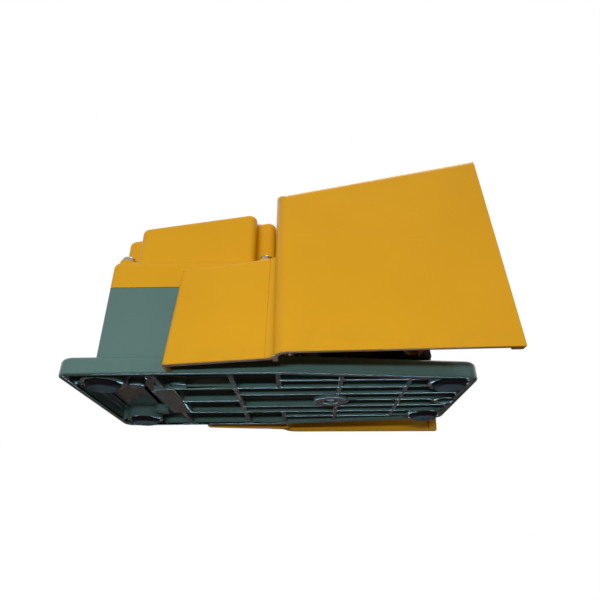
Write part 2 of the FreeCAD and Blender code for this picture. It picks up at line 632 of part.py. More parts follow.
def bend_of(piece):
    """A test for the edges where the sides of a leaning block meet its top and its rear end."""
    corners = [vertex.Point for vertex in piece.body.Tip.Shape.Vertexes]
    rear = min(point.x for point in corners)
    middle = (min(point.z for point in corners) + max(point.z for point in corners)) / 2

    def wanted(edge):
        ends = [vertex.Point for vertex in edge.Vertexes]
        at_rear = upright_edge(edge) and min(point.x for point in ends) < rear + NEAR
        along_top = abs(ends[0].x - ends[1].x) > NEAR and min(point.z for point in ends) > middle
        return at_rear or (along_top and not upright_edge(edge))

    return wanted


def hood_block(name, inset, low, front):
    """The main shell of the hood over the foot, or a space inside it when the inset is a wall."""
    corners = [(f"housing_front + {inset}", f"hood_width_rear / 2 - ({inset})"),
               (f"rear_x + hood_reach_low + {front}", f"hood_width_front / 2 - ({inset})")]
    piece = leaning_block(name, corners, low, "hood_ceiling", "reach_slope")
    slope_top(piece, "housing_front", f"hood_rear_height - ({inset})", "hood_slope", "hood_ceiling")
    return piece.smooth(f"hood_round - ({inset})", bend_of(piece)).body


def ear_block(name, inset, low):
    """The side cheeks that reach back past the housing, before the housing is cleared."""
    corners = [(f"ear_rear + {inset}", f"ear_width_rear / 2 - {inset}"),
               ("housing_front + hood_wall / 2", f"ear_width_front / 2 - {inset}")]
    piece = leaning_block(name, corners, low, "ear_ceiling", rear_reach="rake")
    slope_top(piece, "ear_rear", f"ear_rear_height - {inset}", "ear_slope", "ear_ceiling")
    return piece.smooth(f"ear_round - {inset}", bend_of(piece)).body


def bend_plan(level, radius, side):
    """The plan of the hollow bend from a cheek to the hood's corner, with its back inside the walls."""
    reach = f"(hood_round + {radius})"
    x_hood, y_hood = "(housing_front + hood_round)", "(hood_width_rear / 2 - hood_round)"
    cheek = "(ear_width_front / 2 - ear_flare * hood_wall)"
    rise = f"({cheek} + {radius} - {y_hood})"
    x_bend, y_bend = f"({x_hood} - sqrt({reach}^2 - {rise}^2))", f"({cheek} + {radius})"
    turn = f"acos({rise} / {reach})"
    points = [(f"{x_bend} + {radius} * sin({turn} * {i / BEND_STEPS})",
               f"{y_bend} - {radius} * cos({turn} * {i / BEND_STEPS})") for i in range(BEND_STEPS + 1)]
    back, side_back = "housing_front + hood_wall / 2", f"{cheek} - hood_wall / 2"
    points += [(back, f"{y_hood} + hood_round / 2"), (back, side_back), (x_bend, side_back)]
    return [(x, f"{side}({y} - lean * ({level} - hood_bottom))") for x, y in points]


def hood_bend(side):
    """The fill of a bend, which grows tighter toward the top of the cheek."""
    bend = Piece("bend")
    bend.loft(bend.outline("XY", bend_plan("hood_bottom", "bend_low", side), "hood_bottom"),
              bend.outline("XY", bend_plan("ear_ceiling", "bend_high", side), "ear_ceiling"))
    slope_top(bend, "ear_rear", "ear_rear_height - bend_drop", "ear_slope", "ear_ceiling")
    return bend.body


def hood():
    """A leaning shell open in front and below, with a rim inside its mouth and a cheek on each side."""
    below = "hood_bottom - past"
    room = hood_block("hood_room", "hood_wall", below, "(-hood_rim_depth)")
    mouth = hood_block("hood_mouth", "hood_wall + hood_rim", below, "hood_rim_depth")
    shell = cut(hood_block("hood_outer", "0", "hood_bottom", "0"), room, mouth)
    ears = cut(ear_block("ear_outer", "0", "hood_bottom"), ear_block("ear_inner", "hood_wall", below))
    housing_room = block(("housing_rear", "housing_front"), both_sides("housing_width / 2 + ear_gap"),
                         ("0", "hood_ceiling"))
    deck_room = block(("housing_rear", "housing_front + hood_wall + past"),
                      both_sides("base_width_rear / 2 + ear_gap"), ("0", "deck_z + ear_gap"))
    through_wall = ("housing_front - past", "housing_front + hood_wall + past")
    under_wall = block(through_wall, both_sides("ear_width_front / 2 - 2 * hood_wall"),
                       ("0", "deck_z + wall_lift"))
    slot = block(through_wall, both_sides("slot_half"), ("slot_low", "slot_high"))
    holes = [rod("hood_screw + screw_fit", "hood_wall + 2 * past", "housing_front - past", y, z, "X")
             for y, z in HOOD_SCREWS]
    bends = [hood_bend(side) for side in SIDES]
    whole = join(shell, cut(ears, housing_room), *bends)
    return finish(cut(whole, deck_room, under_wall, slot, *holes), "hood")


def hood_screws():
    return group("hood_screws", [screw("hood_screw", "hood_screw_length", "hood_head", "hood_head_height",
                                       "housing_front + hood_wall", y, z, "-X") for y, z in HOOD_SCREWS])


def tilt(item):
    """Sets a piece that was drawn flat about the axle at the treadle's rest angle."""
    item.Placement = FreeCAD.Placement(Vector(), Rotation(Vector(0, 1, 0), 1))
    bind(item, Placement__Rotation__Angle="tilt_rest")
    bind(item, Placement__Base__x="axle_x", Placement__Base__z="axle_height")
    return item


def treadle_plan(inset, rear, front):
    rear_half, front_half = f"treadle_width_rear / 2 - ({inset})", f"treadle_width_front / 2 - ({inset})"
    return [(rear, f"-({rear_half})"), (front, f"-({front_half})"), (front, front_half), (rear, rear_half)]


def treadle_tray():
    """The plate of the treadle with a sloping toe and a skirt that grows shallower toward the rear."""
    tray = Piece("treadle_tray")
    plan = treadle_plan("0", "-treadle_length", "treadle_nose")
    tray.pad(tray.outline("XY", plan, "-skirt_depth"), "skirt_depth + treadle_top")
    below, rear = "-skirt_depth - past", "-treadle_length - past"
    tray.pocket(tray.outline("XZ", [(rear, below), ("-skirt_run", below), ("-skirt_run", "-skirt_depth"),
                                    (rear, "treadle_rise - skirt_rear_depth")]))
    ahead, above = "treadle_nose + past", "treadle_top + past"
    tray.pocket(tray.outline("XZ", [("treadle_nose", "-skirt_depth"), (ahead, "-skirt_depth"),
                                    (ahead, above), ("toe_x", above), ("toe_x", "treadle_top")]))
    box = tray.body.Shape.BoundBox
    tray.smooth("treadle_corner", lambda edge: upright_edge(edge) and edge.BoundBox.XMin < box.XMin + NEAR)
    tray.smooth("nose_round", lambda edge: edge.BoundBox.XMin > box.XMax - NEAR and edge.BoundBox.ZMax < 0)
    tray.smooth("treadle_edge", level_at(box.ZMax))
    hollow = treadle_plan("treadle_skirt", "-treadle_length + treadle_skirt", "lug_radius + lug_gap")
    tray.pocket(tray.outline("XY", hollow, "treadle_rise"), "skirt_depth + treadle_rise + past")
    roof = SIZES["treadle_rise"]
    tray.smooth("hollow_round", lambda edge: level_at(roof)(edge) and edge.BoundBox.XMin > 0)
    return tilt(tray.body)


def treadle_tongue():
    tongue = Piece("treadle_tongue")
    plan = rectangle("-tongue_reach", "-treadle_length + tongue_root", "tongue_width / 2")
    tongue.pad(tongue.outline("XY", plan, "tongue_low"), "tongue_thickness")
    box = tongue.body.Shape.BoundBox
    tongue.smooth("tongue_corner", lambda edge: upright_edge(edge) and edge.BoundBox.XMin < box.XMin + NEAR)
    return tilt(tongue.body)


def treadle():
    """A cast tray with axle bosses, a seat for the spring and a tongue that reaches into the housing."""
    solids, bores = [treadle_tray(), treadle_tongue()], []
    for side, axis in MIRRORED_AXES:
        at = ("axle_x", f"{side}(boss_inner)", "axle_height", axis)
        solids.append(rod("bush_radius + boss_wall", "boss_width", *at))
        bores.append(rod("bush_radius + press_fit", "boss_width + past", *at))
    above = Piece("over_plate")
    plan = rectangle("-treadle_length", "treadle_nose", "treadle_width_rear / 2")
    above.pad(above.outline("XY", plan, "treadle_rise + treadle_plate / 2"), "2 * far_past")
    seat = rod("spring_boss", "spring_boss_drop + far_past", "spring_x", "0", "spring_seat")
    solids.append(cut(seat, tilt(above.body)))
    return finish(cut(join(*solids), *bores), "treadle")


def treadle_mat():
    """A ribbed rubber mat on the plate."""
    mat = Piece("mat")
    rear, front = "-treadle_length + mat_margin", "toe_x - mat_front_margin"
    mat.pad(mat.outline("XY", treadle_plan("mat_margin", rear, front), "treadle_top"), "mat_thickness")
    length = mat.body.Shape.BoundBox.XLength
    mat.smooth("mat_corner", upright_edge)
    start = f"{rear} + mat_rib_inset"
    rib = treadle_plan("mat_margin + mat_rib_inset", start, f"{start} + mat_rib_width")
    mat.pad(mat.outline("XY", rib, "treadle_top + mat_thickness"), "mat_rib")
    pattern = mat.body.newObject("PartDesign::LinearPattern", "mat_ribs")
    pattern.Originals = [mat.body.Tip]
    pattern.Direction = (mat.planes["X_Axis"], [""])
    count = int((length - 2 * SIZES["mat_rib_inset"]) // SIZES["mat_rib_pitch"])
    pattern.Occurrences = count
    bind(pattern, Length=f"{count - 1} * mat_rib_pitch")
    mat.body.Tip = pattern
    mat.settle()
    return finish(tilt(mat.body), "treadle_mat")


def hinge_axle():
    axle = cross_rod("axle_radius", "axle_half", "axle_x", "axle_height")
    grooves = [disc_ring("axle_radius + past", "axle_radius - clip_groove", "clip_thickness + clip_slack",
                         "axle_x", f"{side}(clip_y)", "axle_height", axis) for side, axis in MIRRORED_AXES]
    return finish(cut(axle, *grooves), "hinge_axle")


def hinge_bushes():
    solids = []
    bore, outer, flange = "axle_radius + axle_fit", "bush_radius", "bush_radius + bush_flange_wall"
    length = "boss_width + bush_flange"
    for side, axis in MIRRORED_AXES:
        bush = Piece("bush")
        bush.turn([(bore, "0"), (flange, "0"), (flange, "bush_flange"), (outer, "bush_flange"),
                   (outer, length), (bore, length)])
        solids.append(place(bush.body, "axle_x", f"{side}(boss_inner - bush_flange)", "axle_height", axis))
    return group("hinge_bushes", solids)


def axle_clips():
    """Open snap rings in the grooves at the ends of the axle."""
    solids = []
    grip = "axle_radius - clip_groove"
    for side, axis in MIRRORED_AXES:
        y = f"{side}(clip_y + clip_slack / 2)"
        ring = disc_ring("axle_radius + clip_wall", grip, "clip_thickness", "axle_x", y, "axle_height", axis)
        mouth = block((f"axle_x - ({grip})", f"axle_x + {grip}"),
                      (f"{y} - 2 * clip_thickness", f"{y} + 2 * clip_thickness"),
                      ("axle_height - axle_radius - clip_wall - past", "axle_height"))
        solids.append(cut(ring, mouth))
    return group("axle_clips", solids)


def return_spring():
    """A compression spring of round wire round the guide post."""
    coil = doc.addObject("Part::Helix", "spring_path")
    bind(coil, Radius="spring_radius", Height="spring_length", Pitch="spring_length / spring_turns")
    place(coil, "spring_x", "0", "deck_z + spring_wire / 2")
    wire = doc.addObject("Part::Circle", "spring_section")
    bind(wire, Radius="spring_wire / 2")
    place(wire, "spring_x + spring_radius", "0", "deck_z + spring_wire / 2", "Y")
    doc.recompute()
    sweep = doc.addObject("Part::Sweep", "spring_sweep")
    sweep.Sections = [wire]
    sweep.Spine = (coil, [f"Edge{i}" for i in range(1, len(coil.Shape.Edges) + 1)])
    sweep.Solid = True
    sweep.Frenet = True
    return finish(sweep, "return_spring")


def spring_post():
    """The guide post of the spring and the screw that holds it from below."""
    post = Piece("post")
    post.turn([("small_screw", "0"), ("post_radius", "0"), ("post_radius", "post_height - post_bevel"),
               ("post_radius - post_bevel", "post_height"), ("small_screw", "post_height")])
    finish(place(post.body, "spring_x", "0", "deck_z"), "spring_post")
    length = "deck_z + post_height - post_screw_short - head_seat"
    finish(screw("small_screw", length, "small_head", "small_head_height", "spring_x", "0", "head_seat", "Z"),
           "post_screw")


def stop_bumpers():
    """Rubber stops with a stem in each post."""
    solids = []
    for x, y in STOPS:
        bumper = Piece("bumper")
        bumper.turn([("0", "-stop_stem_length"), ("stop_stem", "-stop_stem_length"), ("stop_stem", "0"),
                     ("stop_radius", "0"), ("stop_radius", "stop_height - stop_bevel"),
                     ("stop_radius - stop_bevel", "stop_height"), ("0", "stop_height")])
        solids.append(place(bumper.body, x, y, "stop_z"))
    return group("stop_bumpers", solids)


def bracket_cheek(y_low):
    """An upright of the bracket, low in front for the terminals and high at the lever's pivot."""
    cheek = Piece("cheek")
    rear, front = "pivot_x - lever_hub - cheek_margin", "switch_front - cheek_step"
    head, shoulder = "pivot_height + lever_hub", "switch_top - cheek_step"
    profile = [(rear, "deck_z"), (front, "deck_z"), (front, shoulder),
               ("pivot_x + lever_hub + cheek_slope", shoulder), ("pivot_x + lever_hub", head), (rear, head)]
    cheek.pad(cheek.outline("XZ", profile, f"-({y_low}) - bracket_plate"), "bracket_plate")
    return cheek.body


def switch_bracket():
    """A folded steel bracket: a foot on the housing floor and two uprights that hold switch and pivot."""
    foot = block(("plunger_x - bracket_length / 2", "plunger_x + bracket_length / 2"),
                 both_sides("bracket_width / 2"), ("deck_z", "bracket_top"))
    across = "bracket_width / 2"
    holes = [cross_rod("pivot_radius + axle_fit", across, "pivot_x", "pivot_height")]
    holes += [cross_rod("small_screw + screw_fit", across, x, "bolt_z") for x in SWITCH_BOLTS]
    holes += [rod("small_screw + screw_fit", "bracket_plate + 2 * past", x, y, "deck_z - past")
              for x, y in BRACKET_SCREWS]
    plate = join(foot, bracket_cheek("upright_inner"), bracket_cheek("-(upright_outer)"))
    finish(cut(plate, *holes), "switch_bracket")
    group("bracket_screws", [screw("small_screw", "small_screw_length", "small_head", "small_head_height",
                                   x, y, "bracket_top", "-Z") for x, y in BRACKET_SCREWS])


def switch_block():
    """The switch's case with open terminal steps at both ends, and its cover."""
    across = both_sides("switch_width / 2")
    case = block(("switch_rear", "switch_front"), across, ("switch_low", "switch_top - switch_cover"))
    bore = rod("plunger_radius + plunger_fit", "plunger_length + plunger_travel", "plunger_x", "0",
               "plunger_low - plunger_travel")
    steps = [block((f"{x} - terminal_reach / 2", f"{x} + terminal_reach / 2"), both_sides("switch_width"),
                   ("terminal_z", "switch_top + past")) for x in ("switch_rear", "switch_front")]
    bolts = [cross_rod("small_screw + screw_fit", "switch_width", x, "bolt_z") for x in SWITCH_BOLTS]
    finish(cut(case, bore, *steps, *bolts), "switch_body")
    inset = "terminal_reach / 2 + cover_gap"
    cover = block((f"switch_rear + {inset}", f"switch_front - ({inset})"), across,
                  ("switch_top - switch_cover", "switch_top"))
    hole = rod("plunger_radius + plunger_fit", "switch_cover + 2 * past", "plunger_x", "0",
               "switch_top - switch_cover - past")
    finish(cut(cover, hole), "switch_cover")


def switch_fittings():
    """Plunger, terminals with their screws, and the bolts through the bracket."""
    plunger = Piece("plunger")
    plunger.turn([("0", "0"), ("plunger_radius", "0"), ("plunger_radius", "plunger_length - plunger_bevel"),
                  ("plunger_radius - plunger_bevel", "plunger_length"), ("0", "plunger_length")])
    finish(place(plunger.body, "plunger_x", "0", "plunger_low"), "switch_plunger")
    strips, screws = [], []
    for x, y in TERMINALS:
        strip = block((f"{x} - terminal_reach / 2", f"{x} + terminal_reach / 2"),
                      (f"{y} - terminal_size / 2", f"{y} + terminal_size / 2"),
                      ("terminal_z", "terminal_z + terminal_plate"))
        hole = rod("terminal_screw", "terminal_plate + 2 * past", x, y, "terminal_z - past")
        strips.append(cut(strip, hole))
        screws.append(screw("terminal_screw", "terminal_plate", "terminal_head", "terminal_head_height", x, y,
                            "terminal_z + terminal_plate", "-Z"))
    group("switch_terminals", strips)
    group("terminal_screws", screws)
    group("switch_bolts", [screw("small_screw", "2 * upright_outer + bolt_past", "small_head",
                                 "small_head_height", x, "-(upright_outer)", "bolt_z", "Y")
                           for x in SWITCH_BOLTS])


def actuator_lever():
    """The lever that the tongue presses: a hub, a bar and a fork for the roller."""
    half = "lever_width / 2"
    bar = Piece("lever_bar")
    profile = [("pivot_x", "bar_low"), ("plunger_x + lever_bend_low", "bar_low"),
               ("roller_x", "roller_z - fork_half"), ("roller_x", "roller_z + fork_half"),
               ("plunger_x + lever_bend_high", "bar_top"), ("pivot_x", "bar_top")]
    bar.pad(bar.outline("XZ", profile), "lever_width", symmetric=True)
    hub = cross_rod("lever_hub", half, "pivot_x", "pivot_height")
    eyes = cross_rod("fork_eye", half, "roller_x", "roller_z")
    fork = block(("roller_x - roller_radius - fork_gap", "roller_x + roller_radius + fork_gap"),
                 both_sides("roller_width / 2 + side_play"), ("roller_z - far_past", "roller_z + far_past"))
    bores = [cross_rod("pivot_radius + axle_fit", "lever_width", "pivot_x", "pivot_height"),
             cross_rod("roller_pin + press_fit", "lever_width", "roller_x", "roller_z"),
             rod("small_screw + press_fit", "lever_plate + 2 * past", "plunger_x", "0", "bar_low - past")]
    finish(cut(join(bar.body, hub, eyes), fork, *bores), "actuator_lever")
    finish(cross_rod("pivot_radius", "upright_outer + pivot_pin_end", "pivot_x", "pivot_height"), "lever_pin")
    finish(cross_rod("roller_pin", half, "roller_x", "roller_z"), "roller_pin")
    roller = disc_ring("roller_radius", "roller_pin + axle_fit", "roller_width", "roller_x",
                       "-roller_width / 2", "roller_z", "Y")
    finish(roller, "lever_roller")


def adjusting_screw():
    """The screw in the lever that meets the plunger, with its lock nut."""
    tip = "plunger_top + adjust_gap"
    finish(rod("small_screw", f"bar_top + adjust_stand - ({tip})", "plunger_x", "0", tip), "adjust_screw")
    nut = Piece("nut")
    corner = "nut_flat / cos(30 deg)"
    hexagon = [(f"{corner} * cos({turn} deg)", f"{corner} * sin({turn} deg)") for turn in range(0, 360, 60)]
    nut.pad(nut.outline("XY", hexagon), "nut_height")
    bore = rod("small_screw + press_fit", "nut_height + 2 * past", "plunger_x", "0", "bar_top - past")
    finish(cut(place(nut.body, "plunger_x", "0", "bar_top"), bore), "lock_nut")


def earth_terminal():
    """The protective earth screw and its clamp washer on the housing floor."""
    at = ("earth_x", "earth_y")
    finish(disc_ring("earth_washer", "small_screw + screw_fit", "earth_plate", *at, "deck_z"), "earth_washer")
    length = "deck_thickness - earth_floor + earth_plate"
    finish(screw("small_screw", length, "small_head", "small_head_height", *at, "deck_z + earth_plate", "-Z"),
           "earth_screw")


def check_and_export():
    doc.recompute()
    for item in doc.Objects:
        if {"Invalid", "Error"} & set(item.State):
            raise RuntimeError(f"{item.Label}: {item.State}")
    for item in finished:
        if item.Shape.isNull() or not item.Shape.isValid() or not item.Shape.Solids:
            raise RuntimeError(f"{item.Label} has no valid solid")
    os.makedirs("parts", exist_ok=True)
    for item in finished:
        item.Shape.exportStep(f"parts/{item.Label}.step")


base_casting()
rubber_feet()
lid()
lid_gasket()
lid_fasteners()
hood()
hood_screws()
treadle()
treadle_mat()
hinge_axle()
hinge_bushes()
axle_clips()
return_spring()
spring_post()
stop_bumpers()
switch_bracket()
switch_block()
switch_fittings()
actuator_lever()
adjusting_screw()
earth_terminal()
check_and_export()
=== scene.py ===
# %% [markdown]
# # A guarded foot switch
# The real object is a pair of painted castings: a grey-green base with a ribbed underside and a switch
# housing, and a golden yellow hood that keeps anything but a foot off the treadle. A yellow lid closes the
# housing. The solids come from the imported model. This lesson gives them finishes, rounds their edges, replaces
# the plain screws and the spring with finer ones, and sets the camera under the object, as in the photograph.

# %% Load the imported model
import json
import math

import bmesh
import bpy
from mathutils import Matrix, Vector
from mathutils.bvhtree import BVHTree
from mathutils.kdtree import KDTree


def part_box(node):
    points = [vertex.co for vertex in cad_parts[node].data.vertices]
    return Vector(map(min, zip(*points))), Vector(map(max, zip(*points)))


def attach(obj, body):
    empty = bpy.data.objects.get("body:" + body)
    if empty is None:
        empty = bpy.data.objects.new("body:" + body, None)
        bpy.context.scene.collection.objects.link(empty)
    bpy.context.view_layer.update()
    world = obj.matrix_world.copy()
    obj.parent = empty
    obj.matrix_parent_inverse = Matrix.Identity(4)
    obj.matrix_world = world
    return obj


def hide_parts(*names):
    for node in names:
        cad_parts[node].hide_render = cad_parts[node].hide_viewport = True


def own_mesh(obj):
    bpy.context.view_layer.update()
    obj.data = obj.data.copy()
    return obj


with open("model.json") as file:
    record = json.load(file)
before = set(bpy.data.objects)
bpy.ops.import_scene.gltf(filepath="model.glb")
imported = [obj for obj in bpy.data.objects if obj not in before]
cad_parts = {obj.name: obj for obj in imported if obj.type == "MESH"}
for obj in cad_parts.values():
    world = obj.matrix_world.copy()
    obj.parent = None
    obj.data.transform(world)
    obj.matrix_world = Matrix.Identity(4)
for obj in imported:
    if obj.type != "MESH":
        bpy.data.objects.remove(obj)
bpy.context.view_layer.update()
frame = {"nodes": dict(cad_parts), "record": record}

nodes = frame["nodes"]
MM = 0.001

# %% [markdown]
# ## The camera
# The photograph looks up at the switch from one long side, a little under the level of its base. Ribs, rims
# and the hood's corners fix the viewpoint: about 290 mm from the middle plane and 78 mm under the floor, pitched
# up by 28 degrees. The focal length is given in pixels of a 600 pixel frame, which a 36 mm sensor turns into
# millimetres.

# %% Camera
FRAME_PIXELS = 600
SENSOR_MM = 36
FOCAL_PIXELS = 478
AXIS_PIXEL = 303.5
CAMERA_PLACE = Vector((0.012, -0.2883, -0.0781))
CAMERA_PITCH = math.radians(27.7)
CAMERA_ROLL = -0.0105
NEAREST_SHOWN = 0.01

camera_data = bpy.data.cameras.new("photo_camera")
camera_data.sensor_width = SENSOR_MM
camera_data.lens = FOCAL_PIXELS * SENSOR_MM / FRAME_PIXELS
camera_data.shift_x = (FRAME_PIXELS / 2 - AXIS_PIXEL) / FRAME_PIXELS
camera_data.clip_start = NEAREST_SHOWN
camera = bpy.data.objects.new("photo_camera", camera_data)
camera.matrix_world = (Matrix.Translation(CAMERA_PLACE)
                       @ Matrix.Rotation(math.radians(90) + CAMERA_PITCH, 4, "X")
                       @ Matrix.Rotation(CAMERA_ROLL, 4, "Z"))
bpy.context.scene.collection.objects.link(camera)
bpy.context.scene.camera = camera
print("lens", round(camera_data.lens, 2), "mm")

# %% [markdown]
# ## Shader sums as Python
# A finish is a small calculation that runs at every point of a surface. Wired by hand it becomes a tangle, so a
# socket is wrapped in a class whose operators add the Math nodes. Every other node comes from one method, which
# takes its type, its settings and its sockets.

# %% Sockets that take part in sums
class Wire:
    """An output socket; each operator on it adds one Math node."""

    def __init__(self, sheet, socket):
        self.sheet = sheet
        self.socket = socket

    def math(self, operation, *terms):
        return self.sheet.node("Math", {"operation": operation}, dict(enumerate(terms)))

    def __add__(self, other):
        return self.math("ADD", self, other)

    def __sub__(self, other):
        return self.math("SUBTRACT", self, other)

    def __rsub__(self, other):
        return self.math("SUBTRACT", other, self)

    def __mul__(self, other):
        return self.math("MULTIPLY", self, other)

    __radd__ = __add__
    __rmul__ = __mul__


class Sheet:
    """A node tree that grows by one node a call."""

    def __init__(self, tree):
        self.tree = tree

    def node(self, kind, settings=None, sockets=None, output=0):
        """Adds a node, sets it up, then fills its sockets with numbers or links."""
        made = self.tree.nodes.new("ShaderNode" + kind)
        for key, value in (settings or {}).items():
            setattr(made, key, value)
        for key, value in (sockets or {}).items():
            self.fill(made.inputs[key], value)
        return Wire(self, made.outputs[output])

    def fill(self, socket, value):
        if isinstance(value, Wire):
            self.tree.links.new(value.socket, socket)
        else:
            socket.default_value = value

    def fade(self, value, low, high):
        """A mask that climbs smoothly from 0 at low to 1 at high."""
        sockets = {"Value": value, "From Min": low, "From Max": high}
        return self.node("MapRange", {"interpolation_type": "SMOOTHSTEP"}, sockets)

    def mix(self, factor, first, second):
        """A colour between two others."""
        return self.node("Mix", {"data_type": "RGBA"}, {0: factor, 6: first, 7: second}, 2)


print("sums ready with", Wire.__name__, "and", Sheet.__name__)

# %% [markdown]
# ## A sheet for each finish
# Every finish of the switch is one material with one main shader. What repeats from finish to finish, such as
# noise in the object's own coordinates, cells, the height or a bump, gets a short method here, so that a recipe
# further down reads like a list of what the paint or the metal shows.

# %% Finishes
class Finish(Sheet):
    """A material with one main shader."""

    def __init__(self, name):
        self.material = bpy.data.materials.new(name)
        self.material.use_nodes = True
        super().__init__(self.material.node_tree)
        self.shader = self.tree.nodes["Principled BSDF"]
        self.place = self.node("TexCoord", output="Object")

    def shade(self, **sockets):
        """Fills the main shader's sockets; an underscore stands for a space."""
        for key, value in sockets.items():
            self.fill(self.shader.inputs[key.replace("_", " ")], value)
        return self.material

    def stretched(self, scale):
        return self.node("Mapping", None, {"Vector": self.place, "Scale": scale})

    def noise(self, scale, detail=2.0, roughness=0.5, place=None):
        sockets = {"Vector": place or self.place, "Scale": scale, "Detail": detail, "Roughness": roughness}
        return self.node("TexNoise", None, sockets)

    def cells(self, scale):
        sockets = {"Vector": self.place, "Scale": scale}
        return self.node("TexVoronoi", {"feature": "F1"}, sockets, "Distance")

    def height(self):
        return self.node("SeparateXYZ", None, {0: self.place}, "Z")

    def bump(self, height, strength, depth):
        return self.node("Bump", None, {"Height": height, "Strength": strength, "Distance": depth})


def colour(red, green, blue):
    return (red, green, blue, 1.0)


print("finish helpers ready")

# %% [markdown]
# ## Golden yellow enamel
# Hood and lid are sprayed castings. Sprayed enamel is never quite even: it has a faint cloudiness, an orange
# peel of about a millimetre and a half, grains of dust under the skin, hairline scuffs and a film of grime near
# the floor. One noise per effect is easy to tune. The paint in the photograph shines little on its flat faces,
# so its gleam is low.

# %% Enamel
CLOUD_WAVES = 16
SCUFF_WAVES = 60
SCUFF_STRETCH = (1.0, 1.0, 14.0)
SCUFF_PATCHES = 35
GRIME_WAVES = 90
GRIME_FULL, GRIME_TOP = 2 * MM, 20 * MM
NIB_WAVES = 420
NIB_PATCHES = 50
PEEL_WAVES, SWELL_WAVES = 620, 150
GLOSS_WAVES = 45
PEEL_STRENGTH, PEEL_DEPTH = 0.16, 0.1 * MM


def enamel(name, body, cloud, grime, rough, floor_film, gleam):
    """Sprayed paint with clouding, orange peel, dust nibs, scuffs and a film of grime near the floor."""
    sheet = Finish(name)
    clouding = sheet.fade(sheet.noise(CLOUD_WAVES, 4), 0.3, 0.7)
    paint = sheet.mix(clouding, body, cloud)
    streak = sheet.noise(SCUFF_WAVES, 3, 0.6, sheet.stretched(SCUFF_STRETCH))
    scuffs = sheet.fade(streak, 0.66, 0.74) * sheet.fade(sheet.noise(SCUFF_PATCHES, 2), 0.5, 0.62)
    low_down = 1 - sheet.fade(sheet.height(), GRIME_FULL, GRIME_TOP)
    film = low_down * sheet.fade(sheet.noise(GRIME_WAVES, 5, 0.65), 0.3, 0.75) * floor_film
    paint = sheet.mix(film, paint, grime)
    nibs = 1 - sheet.fade(sheet.cells(NIB_WAVES), 0.03, 0.09)
    dusty = sheet.fade(sheet.noise(NIB_PATCHES, 2), 0.55, 0.65)
    peel = sheet.noise(PEEL_WAVES, 2) + 0.35 * sheet.noise(SWELL_WAVES, 2) + 0.6 * nibs * dusty
    gloss = rough + 0.1 * sheet.noise(GLOSS_WAVES, 3) + 0.22 * scuffs + 0.25 * film
    skin = sheet.bump(peel, PEEL_STRENGTH, PEEL_DEPTH)
    return sheet.shade(Base_Color=paint, Roughness=gloss, Normal=skin, Specular_IOR_Level=gleam)


# The body's blue is raised a little as painted reflection. It stands in for the front lamps' light, which the
# paint does not mirror.
yellow_enamel = enamel("yellow_enamel", colour(0.652, 0.322, 0.0100), colour(0.622, 0.303, 0.0088),
                       colour(0.30, 0.17, 0.02), rough=0.15, floor_film=0.15, gleam=0.22)
print("finish", yellow_enamel.name)

# %% [markdown]
# ## Grey-green and black enamel
# The base has the same sort of paint in a dull grey-green. Its underside is glossy enough to show streaks of
# light along the ribs, so the same recipe serves with a smoother skin and much more gleam. The treadle is
# black, and years of shoes have dulled it.

# %% Base and treadle paint
green_enamel = enamel("green_enamel", colour(0.088, 0.170, 0.152), colour(0.080, 0.158, 0.142),
                      colour(0.035, 0.05, 0.045), rough=0.08, floor_film=0.2, gleam=0.85)
# The black is lifted to a warm brown as painted reflection of the yellow hood's light on the treadle. Bare black
# paint would be darker.
black_enamel = enamel("black_enamel", colour(0.032, 0.024, 0.018), colour(0.025, 0.019, 0.014),
                      colour(0.04, 0.034, 0.026), rough=0.42, floor_film=0.3, gleam=0.2)
print("finishes", green_enamel.name, black_enamel.name)

# %% [markdown]
# ## Black rubber
# Feet, mat, stops and seal are moulded rubber: nearly black, matt, with a fine mould grain and a bloom of grey
# dust that catches in the hollows. Two noises in different sizes carry the grain, and a broad one the dust.

# %% Rubber
BLOOM_WAVES = 70
FINE_GRAIN, COARSE_GRAIN = 1400, 380
GRAIN_STRENGTH, GRAIN_DEPTH = 0.35, 0.1 * MM


def moulded_rubber(name, body, dust):
    sheet = Finish(name)
    bloom = sheet.fade(sheet.noise(BLOOM_WAVES, 5, 0.62), 0.42, 0.8)
    grain = sheet.noise(FINE_GRAIN, 2) + 0.5 * sheet.noise(COARSE_GRAIN, 3)
    return sheet.shade(Base_Color=sheet.mix(bloom * 0.6, body, dust), Roughness=0.58 + 0.25 * bloom,
                       Normal=sheet.bump(grain, GRAIN_STRENGTH, GRAIN_DEPTH), Specular_IOR_Level=0.12)


black_rubber = moulded_rubber("black_rubber", colour(0.011, 0.0095, 0.012), colour(0.035, 0.03, 0.036))
print("finish", black_rubber.name)

# %% [markdown]
# ## Metals
# Screws, washers and pins are zinc plated: bright, a little milky, with a mottled roughness. The axle and the
# lever are bare turned or cut steel with fine lines along one direction. Bushes are bronze, terminals are brass.

# %% Metals
TARNISH_WAVES = 140
TOOL_LINE_WAVES = 900
TOOL_LINE_STRENGTH, TOOL_LINE_DEPTH = 0.12, 0.05 * MM
ALONG_THE_AXLE = (1.0, 0.08, 1.0)


def metal(name, body, tarnish, rough, lines=(1.0, 1.0, 1.0)):
    """Bare or plated metal with tool lines stretched along one direction and cloudy tarnish."""
    sheet = Finish(name)
    cloud = sheet.fade(sheet.noise(TARNISH_WAVES, 4, 0.6), 0.4, 0.75)
    tool_lines = sheet.noise(TOOL_LINE_WAVES, 2, 0.5, sheet.stretched(lines))
    return sheet.shade(Base_Color=sheet.mix(cloud, body, tarnish), Metallic=1.0,
                       Roughness=rough + 0.16 * cloud + 0.12 * tool_lines,
                       Normal=sheet.bump(tool_lines, TOOL_LINE_STRENGTH, TOOL_LINE_DEPTH))


